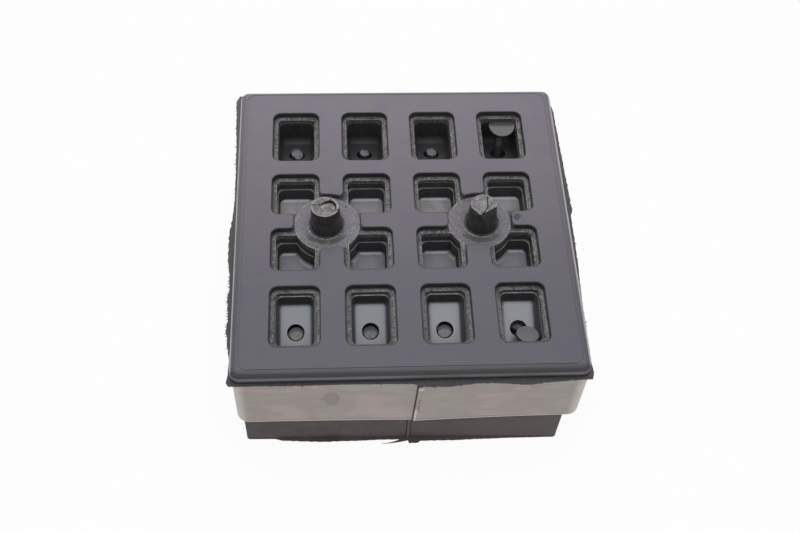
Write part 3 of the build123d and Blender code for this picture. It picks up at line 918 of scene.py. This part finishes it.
@dataclass(frozen=True)
class LooseRubber:
    """Dull rubber that has torn off or crumbled, in two tones and with a fine grain."""

    name: str
    dark: Colour
    pale: Colour
    tone_size: float
    tones: Pair
    grain_size: float
    grain: float
    rough: float = 0.6

    def material(self) -> Material:
        """Builds the material.

        Returns:
            The material.
        """
        shader = Shader(self.name, self.rough)
        tone = shader.noise(self.tone_size, 2.0, 0.6)
        colour = shader.mix(tone.rise(*self.tones), self.dark, self.pale)
        return shader.finish(colour, shader.noise(self.grain_size) * self.grain)


CRUMBS = LooseRubber("rubber crumbs", (0.045, 0.045, 0.044), (0.33, 0.32, 0.315), 0.8, (0.4, 0.6), 0.12, 0.02)
SHREDS = LooseRubber("torn rubber", (0.020, 0.018, 0.019), (0.085, 0.076, 0.078), 1.2, (0.4, 0.65), 0.2, 0.03)


# --- Meshes and geometry trees ---


def mesh_object(name: str, points: Sequence[Vector], faces: Sequence[Sequence[int]],
                material: Material) -> Piece:
    """Makes an object at the origin from points in millimetres.

    Args:
        name: The object's name.
        points: Its points, in millimetres.
        faces: Its faces.
        material: Its material.

    Returns:
        The object.
    """
    mesh = bpy.data.meshes.new(name)
    mesh.from_pydata([point * MM for point in points], [], [tuple(face) for face in faces])
    mesh.validate()
    mesh.materials.append(material)
    made = bpy.data.objects.new(name, mesh)
    bpy.context.scene.collection.objects.link(made)
    return made


class Grower(NodeTree):
    """One Geometry Nodes tree with named inputs, run once over an object and then frozen into a plain mesh."""

    def __init__(self, name: str, material: Material) -> None:
        """Starts a tree.

        Args:
            name: The tree's name.
            material: The material of what it makes.
        """
        super().__init__(bpy.data.node_groups.new(name, "GeometryNodeTree"))
        self.material = material
        self.dials: dict[str, Union[int, float]] = {}
        for way in ("INPUT", "OUTPUT"):
            self.tree.interface.new_socket("Geometry", in_out=way, socket_type="NodeSocketGeometry")
        self.entry = self.node("NodeGroupInput")
        self.exit = self.node("NodeGroupOutput")

    def dial(self, label: str, value: Union[int, float]) -> Field:
        """Adds a named input.

        Args:
            label: Its name.
            value: Its value, whole for a count or a seed.

        Returns:
            What it gives.
        """
        kind = "NodeSocketInt" if isinstance(value, int) else "NodeSocketFloat"
        made = self.tree.interface.new_socket(label, in_out="INPUT", socket_type=kind)
        self.dials[made.identifier] = value
        return Field(self, self.entry.outputs[label])

    @property
    def place(self) -> Socket:
        """The positions of the geometry, in metres."""
        return self.result("GeometryNodeInputPosition")

    def noise(self, size: float) -> Field:
        """Noise over the positions, around 0.5, with clouds of a size in millimetres."""
        return Field(self, self.result("ShaderNodeTexNoise", {"Vector": self.place, "Scale": 1 / (size * MM)}))

    def scatter(self, density: Field, seed: Field) -> bpy.types.Node:
        """Scatters points over the faces, with a density for each square metre."""
        return self.node("GeometryNodeDistributePointsOnFaces", {
            "Mesh": self.entry.outputs["Geometry"], "Density": density, "Seed": seed})

    def any_vector(self, low: Triple, high: Triple, seed: Field) -> Socket:
        """A random vector between two corners."""
        return self.result("FunctionNodeRandomValue", {"Min": low, "Max": high, "Seed": seed},
                           data_type="FLOAT_VECTOR")

    def ring(self, steps: int, radius: Field) -> Socket:
        """A circle of some steps with a radius in metres."""
        return self.result("GeometryNodeCurvePrimitiveCircle", {"Resolution": steps, "Radius": radius})

    def grow(self, seed_piece: Piece, made: Socket) -> Piece:
        """Ends the tree, runs it and keeps its result as the object's plain mesh inside the model's box.

        Args:
            seed_piece: The object that it grows on.
            made: The geometry to keep.

        Returns:
            The object with its new mesh.
        """
        inset = 0.02 * MM
        low, high = [value + inset for value in CAD_BOX[0]], [value - inset for value in CAD_BOX[1]]
        real = self.result("GeometryNodeRealizeInstances", {"Geometry": made})
        place = self.place
        for operation, limit in (("MAXIMUM", low), ("MINIMUM", high)):
            place = self.result("ShaderNodeVectorMath", {0: place, 1: limit}, operation=operation)
        kept = self.result("GeometryNodeSetPosition", {"Geometry": real, "Position": place})
        dressed = self.result("GeometryNodeSetMaterial", {"Geometry": kept, "Material": self.material})
        self.feed(self.exit.inputs[0], dressed)
        modifier = seed_piece.modifiers.new(self.tree.name, "NODES")
        modifier.node_group = self.tree
        for identifier, value in self.dials.items():
            modifier[identifier] = value
        graph = bpy.context.evaluated_depsgraph_get()
        mesh = bpy.data.meshes.new_from_object(seed_piece.evaluated_get(graph))
        seed_piece.modifiers.remove(modifier)
        seed_piece.data = mesh
        return seed_piece


def attach(piece: Piece) -> None:
    """Rides a piece of rubber on the body.

    Args:
        piece: The piece.
    """
    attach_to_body(piece, BODY)
    log.info("built %s: %d faces", piece.name, len(piece.data.polygons))


def dress(solid: Solid, material: Material) -> None:
    """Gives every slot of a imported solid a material.

    Args:
        solid: The solid.
        material: The material.
    """
    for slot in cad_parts[solid.value].material_slots:
        slot.material = material
    log.info("dressed %s", solid.value)


# --- Sub-assemblies ---


@dataclass
class RubberMoulding:
    """The moulded block and the loose bits of rubber on it."""

    finish: MouldedRubber = MouldedRubber()
    torn_finish: LooseRubber = SHREDS
    rim_z: Pair = (46.2, 46.8)
    rim_gap: float = 0.1
    shreds_per_mm2: float = 5.0
    stray_share: float = 0.04
    left_tear: Pair = (-47.0, -3.0)
    right_tear: Pair = (6.0, 15.0)
    shred_length: float = 0.75
    shred_width: float = 0.16
    shred_tip: float = 0.02
    shred_lean: Triple = (0.7, 0.7, 3.1)
    shred_scale: Pair = (0.5, 1.3)
    foot_places: Pair = (-26.75, 27.35)
    foot_radius: float = 5.95
    foot_width: float = 0.24
    foot_lump: float = 0.8
    hair: tuple[Triple, Triple, Triple] = ((-25.26, 3.1, 58.9), (-25.24, 3.35, 59.5), (-25.2, 4.3, 59.75))
    hair_radius: float = 0.11

    def build(self) -> None:
        """Dresses the moulding and adds its torn fringe, a hair and the feet of the pegs."""
        dress(Solid.RUBBER, self.finish.material())
        torn = self.torn_finish.material()
        for piece in (self.fringe(torn), self.hair_on_peg(torn), self.peg_feet(torn)):
            attach(piece)

    def rim(self, material: Material) -> Piece:
        """The flash's outer edge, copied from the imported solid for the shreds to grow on.

        Args:
            material: A material for it.

        Returns:
            The copy.
        """
        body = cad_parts[Solid.RUBBER.value]
        points = [body.matrix_world @ vertex.co / MM for vertex in body.data.vertices]
        side, end = LAYOUT.slab_x / 2 + self.rim_gap, LAYOUT.slab_y / 2 + self.rim_gap
        corners: list[Vector] = []
        faces = []
        for face in body.data.polygons:
            ring = [points[index] for index in face.vertices]
            level = all(self.rim_z[0] < point.z < self.rim_z[1] for point in ring)
            beyond = all(abs(point.x) > side or abs(point.y) > end for point in ring)
            if level and beyond and abs(face.normal.z) < 0.5:
                faces.append(range(len(corners), len(corners) + len(ring)))
                corners += ring
        return mesh_object("torn_fringe", corners, faces, material)

    def fringe(self, material: Material) -> Piece:
        """The shreds of rubber that stand out of the torn flash.

        Args:
            material: Their material.

        Returns:
            The fringe.
        """
        grower = Grower("torn fringe", material)
        seed = grower.dial("Seed", 3)
        dense = grower.dial("Shreds per mm2", self.shreds_per_mm2) * (1 / MM ** 2)
        x, y, _ = grower.split(grower.place)
        worn: Operand = self.stray_share
        for side, (near, far) in (("LESS_THAN", self.left_tear), ("GREATER_THAN", self.right_tear)):
            inside = grower.calculate("GREATER_THAN", y, near * MM) * grower.calculate("LESS_THAN", y, far * MM)
            worn = grower.calculate(side, x, 0.0) * inside + worn
        points = grower.scatter(dense * worn * grower.noise(4.0), seed)
        shred = grower.result("GeometryNodeMeshCone", {
            "Vertices": 4, "Radius Bottom": self.shred_width * MM, "Radius Top": self.shred_tip * MM,
            "Depth": self.shred_length * MM}, fill_type="NONE")
        lean = grower.any_vector(tuple(-angle for angle in self.shred_lean), self.shred_lean, seed)
        turn = grower.result("FunctionNodeRotateRotation", {
            "Rotation": points.outputs["Rotation"], "Rotate By": lean}, rotation_space="LOCAL")
        least, most = self.shred_scale
        size = grower.node("FunctionNodeRandomValue", {2: least, 3: most, "Seed": seed}, data_type="FLOAT")
        spread = grower.result("GeometryNodeInstanceOnPoints", {
            "Points": points.outputs["Points"], "Instance": shred, "Rotation": turn, "Scale": size.outputs[1]})
        return grower.grow(self.rim(material), spread)

    def peg_feet(self, material: Material) -> Piece:
        """The lumpy rings of torn rubber round the feet of the pegs.

        Args:
            material: Their material.

        Returns:
            The rings.
        """
        grower = Grower("peg feet", material)
        circle = grower.ring(72, grower.dial("Ring radius in mm", self.foot_radius) * MM)
        section = grower.ring(8, grower.dial("Half width in mm", self.foot_width) * MM)
        tube = grower.result("GeometryNodeCurveToMesh", {"Curve": circle, "Profile Curve": section})
        spread = grower.result("GeometryNodeInstanceOnPoints", {
            "Points": grower.entry.outputs["Geometry"], "Instance": tube})
        rings = grower.result("GeometryNodeRealizeInstances", {"Geometry": spread})
        lump = (grower.noise(1.3) - 0.5) * (self.foot_lump * MM)
        normal = grower.result("GeometryNodeInputNormal")
        offset = grower.result("ShaderNodeVectorMath", {0: normal, "Scale": lump}, operation="SCALE")
        lumpy = grower.result("GeometryNodeSetPosition", {"Geometry": rings, "Offset": offset})
        feet = [Vector((x, 0.0, LAYOUT.plate_top + 0.05)) for x in self.foot_places]
        return grower.grow(mesh_object("peg_feet", feet, [], material), lumpy)

    def hair_on_peg(self, material: Material) -> Piece:
        """The drawn-out hair at the back of the left peg's torn end.

        Args:
            material: Its material.

        Returns:
            The hair.
        """
        grower = Grower("peg hair", material)
        start, bend, tip = (tuple(value * MM for value in point) for point in self.hair)
        line = grower.result("GeometryNodeCurveQuadraticBezier", {
            "Resolution": 8, "Start": start, "Middle": bend, "End": tip})
        section = grower.ring(6, grower.dial("Radius in mm", self.hair_radius) * MM)
        tube = grower.result("GeometryNodeCurveToMesh", {
            "Curve": line, "Profile Curve": section, "Fill Caps": True})
        return grower.grow(mesh_object("peg_hair", [], [], material), tube)


@dataclass
class PerforatedPlate:
    """The perforated plate and the crumbs of rubber on its ledges."""

    finish: CoatedPlate = CoatedPlate()
    crumb_finish: LooseRubber = CRUMBS
    crumbs_per_mm2: float = 2.6
    crumb_radius: float = 0.23
    crumb_least: Triple = (0.5, 0.5, 0.4)
    crumb_most: Triple = (1.6, 1.6, 1.0)
    patch_size: float = 5.0
    patch_level: float = 0.38
    patch_edge: float = 5.0
    thinnest: float = 0.25
    bare_edge: float = 0.45
    disc_gap: float = 0.6
    corner_steps: int = 6

    def build(self) -> None:
        """Dresses the plate and scatters the crumbs."""
        dress(Solid.PLATE, self.finish.material())
        attach(self.crumbs(self.crumb_finish.material()))

    def outline(self, x: float, y: float, width: float, length: float, corner: float) -> list[Vector]:
        """A round-cornered outline on the plate's top.

        Args:
            x: Its middle across.
            y: Its middle along.
            width: Its width.
            length: Its length.
            corner: Its corner radius.

        Returns:
            Its points.
        """
        points = []
        for quarter, (side, end) in enumerate(((1, 1), (-1, 1), (-1, -1), (1, -1))):
            centre = Vector((x + side * (width / 2 - corner), y + end * (length / 2 - corner), LAYOUT.plate_top))
            for step in range(self.corner_steps + 1):
                angle = math.pi / 2 * (quarter + step / self.corner_steps)
                points.append(centre + corner * Vector((math.cos(angle), math.sin(angle), 0.0)))
        return points

    def ledges(self, material: Material) -> Piece:
        """The ledges round the windows as flat rings, left out by the discs and at the front ends.

        Args:
            material: A material for them.

        Returns:
            The rings.
        """
        points: list[Vector] = []
        faces = []
        for x, y, length in LAYOUT.windows():
            start = len(points)
            for inset, corner in ((self.bare_edge, LAYOUT.window_corner), (LAYOUT.ledge, LAYOUT.floor_corner)):
                points += self.outline(x, y, LAYOUT.window_width - 2 * inset, length - 2 * inset, corner)
            count = (len(points) - start) // 2
            for index in range(count):
                following = (index + 1) % count
                ring = (start + index, start + following, start + count + following, start + count + index)
                middle = sum((points[corner] for corner in ring), Vector()) / 4
                from_disc = math.hypot(abs(middle.x) - LAYOUT.disc_x, middle.y) - LAYOUT.disc_radius
                if from_disc > self.disc_gap and middle.y > y - length / 2 + LAYOUT.ledge:
                    faces.append(ring)
        return mesh_object("ledge_crumbs", points, faces, material)

    def crumbs(self, material: Material) -> Piece:
        """The crumbs of rubber on the ledges, in patches.

        Args:
            material: Their material.

        Returns:
            The crumbs.
        """
        grower = Grower("ledge crumbs", material)
        seed = grower.dial("Seed", 11)
        dense = grower.dial("Crumbs per mm2", self.crumbs_per_mm2) * (1 / MM ** 2)
        patches = (grower.noise(self.patch_size) - self.patch_level) * self.patch_edge
        points = grower.scatter(dense * patches.most(self.thinnest).least(1.0), seed)
        radius = grower.dial("Radius in mm", self.crumb_radius) * MM
        crumb = grower.result("GeometryNodeMeshIcoSphere", {"Radius": radius, "Subdivisions": 1})
        turn = grower.any_vector((0.0, 0.0, 0.0), (6.2, 6.2, 6.2), seed)
        size = grower.any_vector(self.crumb_least, self.crumb_most, seed)
        spread = grower.result("GeometryNodeInstanceOnPoints", {
            "Points": points.outputs["Points"], "Instance": crumb, "Rotation": turn, "Scale": size})
        return grower.grow(self.ledges(material), spread)


@dataclass
class SteelBand:
    """The folded band."""

    finish: BrushedBand = BrushedBand()

    def build(self) -> None:
        """Dresses the band."""
        dress(Solid.BAND, self.finish.material())


# --- Studio ---


@dataclass
class Lamp:
    """A square soft box that points at the buffer. Its place and width are metres."""

    name: str
    place: Triple
    width: float
    radiance: float

    def build(self) -> None:
        """Makes the lamp. Its power follows from its width and how bright its face is."""
        data = bpy.data.lights.new(self.name, "AREA")
        data.shape, data.size = "SQUARE", self.width
        data.energy = self.radiance * math.pi * self.width ** 2
        lamp = bpy.data.objects.new(self.name, data)
        lamp.location = self.place
        lamp.rotation_euler = (-Vector(self.place)).to_track_quat("-Z", "Y").to_euler()
        bpy.context.scene.collection.objects.link(lamp)


@dataclass
class Studio:
    """The floor, the lamps, the world and the camera."""

    lamps: tuple[Lamp, ...] = (Lamp("overhead softbox", (0.0, -0.12, 0.95), 0.9, 2.6),
                               Lamp("back softbox", (0.0, 0.95, 0.75), 0.7, 1.8))
    floor_size: float = 6000.0
    floor_gap: float = 0.02
    floor_tint: Colour = (0.90, 0.90, 0.90)
    own_white: float = 0.94
    world_level: float = 0.25
    azimuth: float = 5.84
    elevation: float = 55.93
    roll: float = 3.93
    aim: Triple = (-2.22, -19.77, 51.5)
    distance: float = 377.42
    focal: float = 1119.95
    frame_width: int = 800
    sensor: float = 36.0

    def build(self) -> None:
        """Builds the whole studio."""
        self.world()
        self.floor()
        for lamp in self.lamps:
            lamp.build()
        self.camera()

    def backdrop(self, tree: NodeTree, output: str, plain: Socket, white: Socket,
                 share: float = 1.0) -> None:
        """Ends a tree so that rays from the camera, off gloss and through glass see white.

        Args:
            tree: The tree to end.
            output: The type of its output node.
            plain: The surface for all other rays.
            white: The white surface.
            share: How much of the white those rays see.
        """
        rays = tree.node("ShaderNodeLightPath").outputs
        seen = Field(tree, rays["Is Camera Ray"])
        for label in ("Is Glossy Ray", "Is Transmission Ray"):
            seen = seen.most(rays[label])
        tree.node(output, {"Surface": tree.result("ShaderNodeMixShader", {"Fac": seen * share, 1: plain, 2: white})})

    def world(self) -> None:
        """A dim grey world that looks plain white."""
        world = bpy.data.worlds.new("studio")
        bpy.context.scene.world = world
        world.use_nodes = True
        tree = NodeTree(world.node_tree)
        grey, white = (tree.result("ShaderNodeBackground", {"Color": (1.0, 1.0, 1.0), "Strength": level})
                       for level in (self.world_level, 1.0))
        self.backdrop(tree, "ShaderNodeOutputWorld", grey, white)

    def floor(self) -> None:
        """A white floor under the buffer that keeps a light shadow."""
        material = bpy.data.materials.new("floor")
        material.use_nodes = True
        tree = NodeTree(material.node_tree)
        matt = tree.result("ShaderNodeBsdfDiffuse", {"Color": self.floor_tint})
        self.backdrop(tree, "ShaderNodeOutputMaterial", matt, tree.result("ShaderNodeEmission"), self.own_white)
        half = self.floor_size / 2
        level = CAD_BOX[0].z / MM - self.floor_gap
        corners = [Vector((x, y, level)) for x, y in ((-half, -half), (half, -half), (half, half), (-half, half))]
        mesh_object("floor", corners, [(0, 1, 2, 3)], material)

    def camera(self) -> None:
        """The camera, looking down at the front of the buffer."""
        azimuth, elevation, roll = (math.radians(angle) for angle in (self.azimuth, self.elevation, self.roll))
        forward = Vector((math.sin(azimuth) * math.cos(elevation), math.cos(azimuth) * math.cos(elevation),
                          -math.sin(elevation)))
        right = Vector((math.cos(azimuth), -math.sin(azimuth), 0.0))
        above = right.cross(forward)
        across = math.cos(roll) * right + math.sin(roll) * above
        upwards = math.cos(roll) * above - math.sin(roll) * right
        data = bpy.data.cameras.new("camera")
        data.sensor_width = self.sensor
        data.lens = self.focal * self.sensor / self.frame_width
        data.clip_start, data.clip_end = 0.01, 50.0
        camera = bpy.data.objects.new("camera", data)
        turn = Matrix((across, upwards, -forward)).transposed()
        camera.matrix_world = Matrix.Translation((Vector(self.aim) - forward * self.distance) * MM) @ turn.to_4x4()
        bpy.context.scene.collection.objects.link(camera)
        bpy.context.scene.camera = camera


def main() -> None:
    """Builds the buffer's finishes and details, then the studio."""
    logging.basicConfig(level=logging.INFO, format="%(message)s")
    bpy.context.scene.view_settings.view_transform = "Standard"
    for assembly in (RubberMoulding(), PerforatedPlate(), SteelBand()):
        assembly.build()
    Studio().build()


if __name__ == "__main__":
    main()
